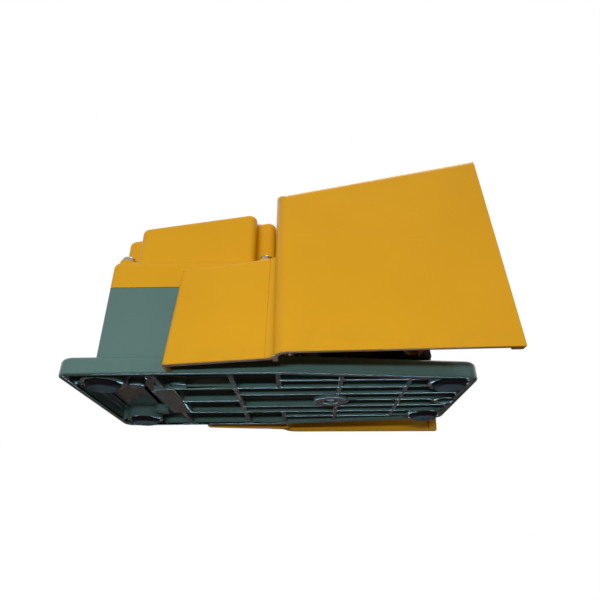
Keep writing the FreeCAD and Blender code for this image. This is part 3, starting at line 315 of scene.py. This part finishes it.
zinc_steel = metal("zinc_steel", colour(0.86, 0.86, 0.84), colour(0.6, 0.6, 0.58), 0.12)
bright_steel = metal("bright_steel", colour(0.58, 0.58, 0.57), colour(0.40, 0.39, 0.38), 0.22, ALONG_THE_AXLE)
spring_steel = metal("spring_steel", colour(0.34, 0.34, 0.34), colour(0.2, 0.19, 0.18), 0.28)
bronze = metal("bronze", colour(0.55, 0.35, 0.14), colour(0.36, 0.22, 0.09), 0.34)
brass = metal("brass", colour(0.80, 0.58, 0.22), colour(0.55, 0.36, 0.13), 0.22)
print("metals", zinc_steel.name, bright_steel.name, spring_steel.name, bronze.name, brass.name)

# %% [markdown]
# ## Mouldings of the switch
# The snap switch in the housing is a dark moulding with a grey cover and a red plunger. It is seen only with the
# lid off, but it gets a moulded grain like the rest.

# %% Mouldings
FLOW_WAVES = 120
MOULD_GRAIN = 1600
MOULD_STRENGTH, MOULD_DEPTH = 0.2, 0.06 * MM


def moulding(name, body, deep, rough):
    sheet = Finish(name)
    cloud = sheet.fade(sheet.noise(FLOW_WAVES, 3), 0.35, 0.7)
    grain = sheet.noise(MOULD_GRAIN, 2)
    return sheet.shade(Base_Color=sheet.mix(cloud, body, deep), Roughness=rough + 0.12 * cloud,
                       Normal=sheet.bump(grain, MOULD_STRENGTH, MOULD_DEPTH))


black_moulding = moulding("black_moulding", colour(0.02, 0.02, 0.022), colour(0.014, 0.014, 0.015), 0.42)
grey_moulding = moulding("grey_moulding", colour(0.25, 0.26, 0.27), colour(0.2, 0.21, 0.22), 0.4)
red_moulding = moulding("red_moulding", colour(0.5, 0.03, 0.02), colour(0.38, 0.02, 0.015), 0.28)
print("mouldings", black_moulding.name, grey_moulding.name, red_moulding.name)

# %% [markdown]
# ## Finishes on the solids
# The record says which slot each node has, and each slot has one finish. The solids keep their meshes. Flat
# faces stay flat and round ones turn smooth, because only edges over a certain angle are marked sharp.

# %% Dress the nodes
FINISHES = {
    "yellow_paint": yellow_enamel, "green_paint": green_enamel, "black_paint": black_enamel,
    "black_rubber": black_rubber, "zinc_steel": zinc_steel, "bright_steel": bright_steel,
    "spring_steel": spring_steel, "bronze": bronze, "brass": brass, "black_plastic": black_moulding,
    "grey_plastic": grey_moulding, "red_plastic": red_moulding,
}
SHARP_ANGLE = math.radians(32)


def smooth_flats(mesh):
    mesh.polygons.foreach_set("use_smooth", [True] * len(mesh.polygons))
    mesh.set_sharp_from_angle(angle=SHARP_ANGLE)


for part in frame["record"]["subparts"]:
    solid = nodes[part["node"]]
    solid.data.materials.clear()
    solid.data.materials.append(FINISHES[part["material_slot"]])
    smooth_flats(solid.data)

# %% [markdown]
# ## Where the sharp edges are
# No casting has knife edges, so the sharp ones have to be found before they can be rounded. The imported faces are
# separate sheets, and an edge between two of them exists twice. Faces are therefore matched by the places of
# their corners. An edge is an outer one where the second face falls away from the first, and a hollow otherwise.

# %% Find the sharp edges
def find_sharp(mesh, spots):
    """Numbers of the sharp edges, outer and inner ones, with faces matched across the seams of the mesh."""
    meeting = {}
    for face in mesh.polygons:
        for pair in face.edge_keys:
            meeting.setdefault(frozenset(spots[i] for i in pair), []).append(face)
    outer, inner = [], []
    for edge in mesh.edges:
        faces = meeting.get(frozenset(spots[i] for i in edge.vertices), [])
        if len(faces) == 2 and faces[0].normal.angle(faces[1].normal, 0.0) > SHARP_ANGLE:
            falls_away = (faces[1].center - faces[0].center).dot(faces[0].normal) < 0
            (outer if falls_away else inner).append(edge.index)
    return outer, inner


def write_edges(mesh, name, kind, values):
    layer = mesh.attributes.get(name) or mesh.attributes.new(name, kind, "EDGE")
    layer.data.foreach_set("value", [values.get(i, 0) for i in range(len(mesh.edges))])
    mesh.update()


print("edges sharper than", round(math.degrees(SHARP_ANGLE)), "degrees are rounded")

# %% [markdown]
# ## Corners where a bevel goes wrong
# Where many edges meet at odd angles, a bevel can throw a point off the surface. Such points are found by their
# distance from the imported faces, and the corners next to them are named, so that they can be left unbevelled.

# %% Find the stray corners
STRAY_SHARE = 0.42
STRAY_REACH = 3.0


def corner_tree(mesh, edges):
    """The ends of the edges, ready for a search by place."""
    corners = KDTree(2 * len(edges))
    for number in edges:
        for i in mesh.edges[number].vertices:
            corners.insert(mesh.vertices[i].co, i)
    corners.balance()
    return corners


def stray_corners(solid, surface, corners, width):
    """The sharp corners next to points that the bevel has thrown off the surface."""
    shown = solid.evaluated_get(bpy.context.evaluated_depsgraph_get())
    mesh = shown.to_mesh()
    stray = {i for i, vert in enumerate(mesh.vertices)
             if surface.find_nearest(vert.co)[3] > STRAY_SHARE * width}
    ends = {i for edge in mesh.edges for i in edge.vertices if not stray.isdisjoint(edge.vertices)}
    nearest = [corners.find(mesh.vertices[i].co) for i in ends]
    shown.to_mesh_clear()
    return {corner for place, corner, gap in nearest if gap < STRAY_REACH * width}


print("a point is stray over", STRAY_SHARE, "of the bevel's width off the surface")

# %% [markdown]
# ## Cast and moulded edges
# The ribs under the base are nearly round below, and that is where the photograph shows lines of light. So the
# low edges of the base get a wide bevel, its hollows too, and all other edges a narrow one. A weld joins the
# separate sheets first, and weighted normals keep the large faces flat. All three are modifiers, so the packed
# shape itself stays as it is. Only the mat keeps crisp hollows.

# %% Round the edges
EDGE_WIDTHS = {"hood": 0.5, "base_casting": 1.1, "treadle": 0.5, "treadle_mat": 0.35, "rubber_feet": 0.4}
CAST_LEVEL = 9.5 * MM
FINE_SHARE = 0.4
WELD_REACH = 1e-6
BEVEL_SEGMENTS = 3
BEVEL_TRIALS = 10
SPOT_DIGITS = 7


def add_bevel(solid, width):
    solid.modifiers.new("weld", "WELD").merge_threshold = WELD_REACH
    bevel = solid.modifiers.new("soft_edge", "BEVEL")
    bevel.width = width
    bevel.segments = BEVEL_SEGMENTS
    bevel.limit_method = "WEIGHT"
    bevel.use_clamp_overlap = False


def round_edges(solid, width, ribbed, crisp):
    """Rounds outer edges; on a ribbed casting also the hollows, and finely above the level of the ribs.

    Hollows that are not rounded blend softly into their faces, unless they are to be crisp."""
    mesh = solid.data
    spots = [vert.co.to_tuple(SPOT_DIGITS) for vert in mesh.vertices]
    outer, inner = find_sharp(mesh, spots)
    chosen = outer + inner if ribbed else outer
    weights = {}
    for number in chosen:
        top = max(spots[i][2] for i in mesh.edges[number].vertices)
        weights[number] = FINE_SHARE if ribbed and top >= CAST_LEVEL else 1.0
    surface = BVHTree.FromPolygons([vert.co for vert in mesh.vertices],
                                   [face.vertices for face in mesh.polygons])
    corners = corner_tree(mesh, chosen)
    add_bevel(solid, width)
    for _ in range(BEVEL_TRIALS):
        write_edges(mesh, "bevel_weight_edge", "FLOAT", weights)
        wrong = {spots[i] for i in stray_corners(solid, surface, corners, width)}
        if not wrong:
            break
        weights = {i: weight for i, weight in weights.items()
                   if not any(spots[k] in wrong for k in mesh.edges[i].vertices)}
    write_edges(mesh, "sharp_edge", "BOOLEAN", dict.fromkeys(inner if crisp else (), True))
    solid.modifiers.new("flat_faces", "WEIGHTED_NORMAL").keep_sharp = True
    print(solid.name, "has", len(weights), "of", len(chosen), "edges rounded,", len(wrong), "stray corners left")


for name, width in EDGE_WIDTHS.items():
    round_edges(nodes[name], width * MM, ribbed=name == "base_casting", crisp=name == "treadle_mat")

# %% [markdown]
# ## A cross-recess screw
# The lid screws, the hood screws and the screw under the guide post show their heads. A pan head is a turned
# shape with a cross-shaped recess. Head and thread are spun from one profile, and a tapered cross is cut out of
# the head.

# %% Turning and carving
TURN_STEPS = 40


def turned(profile):
    """A mesh spun about Z from pairs of radius and height that start and end on the axis."""
    form = bmesh.new()
    turns = [2 * math.pi * i / TURN_STEPS for i in range(TURN_STEPS)]
    rings = []
    for radius, level in profile:
        if radius == 0:
            rings.append([form.verts.new((0, 0, level))])
        else:
            rings.append([form.verts.new((radius * math.cos(t), radius * math.sin(t), level)) for t in turns])
    for low, high in zip(rings, rings[1:]):
        for i in range(TURN_STEPS):
            j = (i + 1) % TURN_STEPS
            corners = [low[i % len(low)], low[j % len(low)], high[j % len(high)], high[i % len(high)]]
            form.faces.new(list(dict.fromkeys(corners)))
    bmesh.ops.recalc_face_normals(form, faces=form.faces)
    return form


def as_object(name, form):
    mesh = bpy.data.meshes.new(name)
    form.to_mesh(mesh)
    form.free()
    made = bpy.data.objects.new(name, mesh)
    bpy.context.scene.collection.objects.link(made)
    return made


def carve(solid, tool):
    """Cuts one object out of another for good and removes the tool."""
    cutter = solid.modifiers.new("carve", "BOOLEAN")
    cutter.object = tool
    cutter.operation = "DIFFERENCE"
    cutter.solver = "EXACT"
    depsgraph = bpy.context.evaluated_depsgraph_get()
    carved = bpy.data.meshes.new_from_object(solid.evaluated_get(depsgraph))
    solid.modifiers.remove(cutter)
    solid.data = carved
    bpy.data.objects.remove(tool)


print("turned shapes have", TURN_STEPS, "steps")

# %% [markdown]
# ## The screw's measures
# All measures are shares of the head's radius, the head's height or the shank's radius, so that one recipe
# gives an M4 and an M5 screw. The crown of the head is a short list of points from its rim to its middle.

# %% Screws
CROWN = ((1, 0), (1, 0.38), (0.94, 0.66), (0.78, 0.88), (0.5, 1), (0, 1))
TIP_SHARE = 0.7
ROOT_SHARE = 0.84
PITCH_SHARE = 0.36
ARM_REACH, ARM_HALF_WIDTH = 0.56, 0.12
ARM_TAPER = 0.55
RECESS_TOP, RECESS_FLOOR = 1.2, 0.45


def cross_tool(head, head_height):
    """Two tapered bars that cross, for the recess."""
    cross = bmesh.new()
    for across, along in ((ARM_REACH, ARM_HALF_WIDTH), (ARM_HALF_WIDTH, ARM_REACH)):
        for vert in bmesh.ops.create_cube(cross, size=2.0)["verts"]:
            upper = vert.co.z > 0
            taper = 1.0 if upper else ARM_TAPER
            vert.co.x *= across * head * taper
            vert.co.y *= along * head * taper
            vert.co.z = head_height * (RECESS_TOP if upper else RECESS_FLOOR)
    return as_object("cross_tool", cross)


def cross_screw(radius, length, head, head_height):
    """A pan head screw along -Z with its seat at the origin and a threaded shank."""
    crown = [(out * head, up * head_height) for out, up in CROWN]
    shank = [(0, -length), (TIP_SHARE * radius, -length)]
    pitch = PITCH_SHARE * radius
    for step in range(int((length - 2 * pitch) / pitch)):
        level = -length + (step + 1) * pitch
        shank += [(radius, level), (ROOT_SHARE * radius, level + 0.5 * pitch)]
    blank = as_object("screw_blank", turned(shank + [(ROOT_SHARE * radius, 0)] + crown))
    carve(blank, cross_tool(head, head_height))
    return blank


print("a pan head has", len(CROWN), "rings")

# %% [markdown]
# ## Screws in their places
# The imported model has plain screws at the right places. Their common box gives the corners where they stand,
# the level of their heads and their length, so nothing has to be measured twice.

# %% Fit the screws
def screw_places(low, high, spread, head):
    """The middle of the box, spread to both of its ends along each axis named."""
    places = [(low + high) / 2]
    for axis in spread:
        ends = (low[axis] + head, high[axis] - head)
        places = [place + Vector([end - place[axis] if i == axis else 0 for i in range(3)])
                  for place in places for end in ends]
    return places


def fit_screws(node, spread, radius, head, head_height, facing):
    """Replaces a node of screws with finer ones at the places that its box gives."""
    low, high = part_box(node)
    facing = Vector(facing)
    along = max(range(3), key=lambda i: abs(facing[i]))
    top = high[along] if facing[along] > 0 else low[along]
    length = high[along] - low[along] - head_height
    pattern = cross_screw(radius, length, head, head_height)
    spin = facing.to_track_quat("Z", "Y").to_matrix().to_4x4()
    seats = screw_places(low, high, spread, head)
    form = bmesh.new()
    for seat in seats:
        seat[along] = top - facing[along] * head_height
        copy = pattern.data.copy()
        copy.transform(Matrix.Translation(seat) @ spin)
        form.from_mesh(copy)
        bpy.data.meshes.remove(copy)
    bpy.data.objects.remove(pattern)
    fitted = as_object("fine_" + node, form)
    fitted.data.materials.append(zinc_steel)
    smooth_flats(fitted.data)
    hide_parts(node)
    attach(fitted, "housing")
    print(fitted.name, len(seats), "screws,", round(length / MM, 1), "mm long")


fit_screws("lid_screws", (0, 1), radius=2.0 * MM, head=3.9 * MM, head_height=2.8 * MM, facing=(0, 0, 1))
fit_screws("hood_screws", (1, 2), radius=2.5 * MM, head=4.6 * MM, head_height=3.0 * MM, facing=(1, 0, 0))
fit_screws("post_screw", (), radius=2.0 * MM, head=3.6 * MM, head_height=2.4 * MM, facing=(0, 0, -1))

# %% [markdown]
# ## The return spring
# A compression spring shortens as the treadle goes down. It is a helix of round wire with closed ends, made as a
# mesh tube.

# %% Path of the wire
spring_low, spring_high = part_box("return_spring")
WIRE_RADIUS = 0.9 * MM
LIVE_TURNS = 3.6
END_TURNS = 1.0
ALL_TURNS = LIVE_TURNS + 2 * END_TURNS
END_LIFT = 2.1 * WIRE_RADIUS
STEPS_PER_TURN = 40
SPRING_CENTRE = (spring_low + spring_high) / 2
COIL_RADIUS = (spring_high.y - spring_low.y) / 2 - WIRE_RADIUS
COIL_BOTTOM, COIL_TOP = spring_low.z + WIRE_RADIUS, spring_high.z - WIRE_RADIUS


def coil_point(turn):
    """The middle of the wire after a number of turns: nearly flat at both ends, climbing between."""
    rise = (turn - END_TURNS) / LIVE_TURNS
    rise = min(max(rise, 0.0), 1.0)
    start = COIL_BOTTOM + min(turn / END_TURNS, 1.0) * END_LIFT
    stop = COIL_TOP - min((ALL_TURNS - turn) / END_TURNS, 1.0) * END_LIFT
    angle = 2 * math.pi * turn
    return Vector((SPRING_CENTRE.x + COIL_RADIUS * math.cos(angle),
                   SPRING_CENTRE.y + COIL_RADIUS * math.sin(angle), start + rise * (stop - start)))


steps = int(ALL_TURNS * STEPS_PER_TURN)
wire_path = [coil_point(ALL_TURNS * i / steps) for i in range(steps + 1)]
print("wire of", round(ALL_TURNS, 1), "turns,", len(wire_path), "points")

# %% [markdown]
# ## Wire around the path
# A ring of points stands square to the path at every step, and neighbouring rings are joined.

# %% Spring
WIRE_SIDES = 12


def coil_tube(path):
    form = bmesh.new()
    turns = [2 * math.pi * k / WIRE_SIDES for k in range(WIRE_SIDES)]
    rings = []
    for i, point in enumerate(path):
        ahead = (path[min(i + 1, len(path) - 1)] - path[max(i - 1, 0)]).normalized()
        outward = Vector((point.x - SPRING_CENTRE.x, point.y - SPRING_CENTRE.y, 0)).normalized()
        upward = ahead.cross(outward).normalized()
        rings.append([form.verts.new(point + WIRE_RADIUS * (math.cos(t) * outward + math.sin(t) * upward))
                      for t in turns])
    for low, high in zip(rings, rings[1:]):
        for k in range(WIRE_SIDES):
            form.faces.new((low[k], low[(k + 1) % WIRE_SIDES], high[(k + 1) % WIRE_SIDES], high[k]))
    form.faces.new(rings[0])
    form.faces.new(rings[-1])
    bmesh.ops.recalc_face_normals(form, faces=form.faces)
    return form


spring = as_object("fine_return_spring", coil_tube(wire_path))
spring.data.materials.append(spring_steel)
smooth_flats(spring.data)
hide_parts("return_spring")
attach(spring, "housing")
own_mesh(spring)
print("spring", round((spring_high.z - spring_low.z) / MM, 1), "mm tall at rest")

# %% [markdown]
# ## The floor
# The object stands on a pale floor, and the camera is under that floor. So the floor is a sheet that only shows
# from above: its back is clear, no lamp is stopped by it and no other ray meets it.

# %% Floor
FLOOR_HALF = 3.0
FLOOR_LEVEL = -0.2 * MM

floor_form = bmesh.new()
bmesh.ops.create_grid(floor_form, x_segments=1, y_segments=1, size=FLOOR_HALF)
floor = as_object("floor", floor_form)
floor.location.z = FLOOR_LEVEL
floor_sheet = Finish("pale_floor")
floor_sheet.shade(Base_Color=colour(0.82, 0.82, 0.81), Roughness=0.8)
back = floor_sheet.node("NewGeometry", output="Backfacing")
clear = floor_sheet.node("BsdfTransparent")
pale = Wire(floor_sheet, floor_sheet.shader.outputs[0])
one_way = floor_sheet.node("MixShader", None, {0: back, 1: pale, 2: clear})
floor_sheet.fill(floor_sheet.tree.nodes["Material Output"].inputs["Surface"], one_way)
floor.data.materials.append(floor_sheet.material)
for kind in ("diffuse", "glossy", "transmission", "shadow"):
    setattr(floor, "visible_" + kind, False)
print("floor at", round(floor.location.z / MM, 2), "mm")

# %% [markdown]
# ## The room
# The world is a soft room: lighter above, dark and a little earthy below. What is mirrored in the paint is set
# apart from the light itself. Behind the object it is a white backdrop, behind the camera a dimmer room, and
# below the horizon a dark ground, which keeps the flat bottoms of the ribs dark. The camera sees plain white.

# %% World
SKY = 0.45
GROUND = 0.06
MIRRORED_GROUND = 0.1
BEHIND_CAMERA = 0.35
WHITE = colour(1.0, 1.0, 1.0)
EARTH = colour(1.0, 0.62, 0.52)
LIGHT_FADE = (-0.5, 0.35)
BACKDROP_FADE = (0.0, 0.5)
HORIZON_FADE = (-0.15, 0.0)
EARTH_FADE = (-0.25, 0.0)

world = bpy.data.worlds.new("soft_room")
bpy.context.scene.world = world
world.use_nodes = True
room = Sheet(world.node_tree)
way = room.node("TexCoord", output="Generated")
height, depth = (room.node("SeparateXYZ", None, {0: way}, axis) for axis in "ZY")
camera_ray, mirror_ray, glass_ray = (room.node("LightPath", output=f"Is {kind} Ray")
                                     for kind in ("Camera", "Glossy", "Transmission"))
soft = GROUND + (SKY - GROUND) * room.fade(height, *LIGHT_FADE)
backdrop = BEHIND_CAMERA + (1 - BEHIND_CAMERA) * room.fade(depth, *BACKDROP_FADE)
mirrored = MIRRORED_GROUND + (backdrop - MIRRORED_GROUND) * room.fade(height, *HORIZON_FADE)
strength = soft + mirror_ray * (mirrored - soft) + (camera_ray + glass_ray) * (1 - soft)
tint = room.mix(room.fade(height, *EARTH_FADE), EARTH, WHITE)
background = world.node_tree.nodes["Background"]
room.fill(background.inputs["Color"], room.mix(camera_ray, tint, WHITE))
room.fill(background.inputs["Strength"], strength)
print("world from", GROUND, "below to", SKY, "above")

# %% [markdown]
# ## The lamps
# The strongest lamp on the near side is thin and cool and hangs just under the level of the base. Its light gets
# in below the hood, so the hood's edge throws a clear shadow on the base. A warmer lamp stands higher in front.
# Both give light but no mirror image. Two more light the top and the back. The rib lamp is the reverse: a cool
# strip low on the far side, which only shows as lines of light on the rounded ribs.

# %% Lamps
def lamp(name, place, aim, size, power, tint, lights=True, mirrors=True):
    data = bpy.data.lights.new(name, "AREA")
    data.shape = "RECTANGLE"
    data.size, data.size_y = size
    data.energy = power
    data.color = tint
    made = bpy.data.objects.new(name, data)
    made.location = place
    made.rotation_euler = (Vector(aim) - Vector(place)).to_track_quat("-Z", "Y").to_euler()
    made.visible_diffuse, made.visible_glossy = lights, mirrors
    bpy.context.scene.collection.objects.link(made)


MIDDLE = (0, 0, 0.06)
lamp("front_lamp", place=(-0.2, -1.15, 0.34), aim=MIDDLE, size=(0.3, 0.1), power=3.9,
     tint=(1.0, 0.97, 0.94), mirrors=False)
lamp("level_lamp", place=(-0.06, -0.6, -0.07), aim=(0, 0, 0), size=(0.25, 0.025), power=1.7,
     tint=(0.91, 0.97, 1.0), mirrors=False)
lamp("top_lamp", place=(0.2, 0.3, 1.3), aim=MIDDLE, size=(1.0, 1.0), power=5.0, tint=(1.0, 0.99, 0.97))
lamp("back_lamp", place=(-0.3, 1.3, 0.5), aim=MIDDLE, size=(0.8, 0.5), power=5.0, tint=(1.0, 0.98, 0.96))
lamp("rib_lamp", place=(-0.03, 0.72, -0.54), aim=(-0.03, 0, 0), size=(0.9, 0.05), power=4.5,
     tint=(0.42, 0.76, 1.0), lights=False)
bpy.context.scene.view_settings.view_transform = "Standard"
print("lamps", [item.name for item in bpy.data.lights])
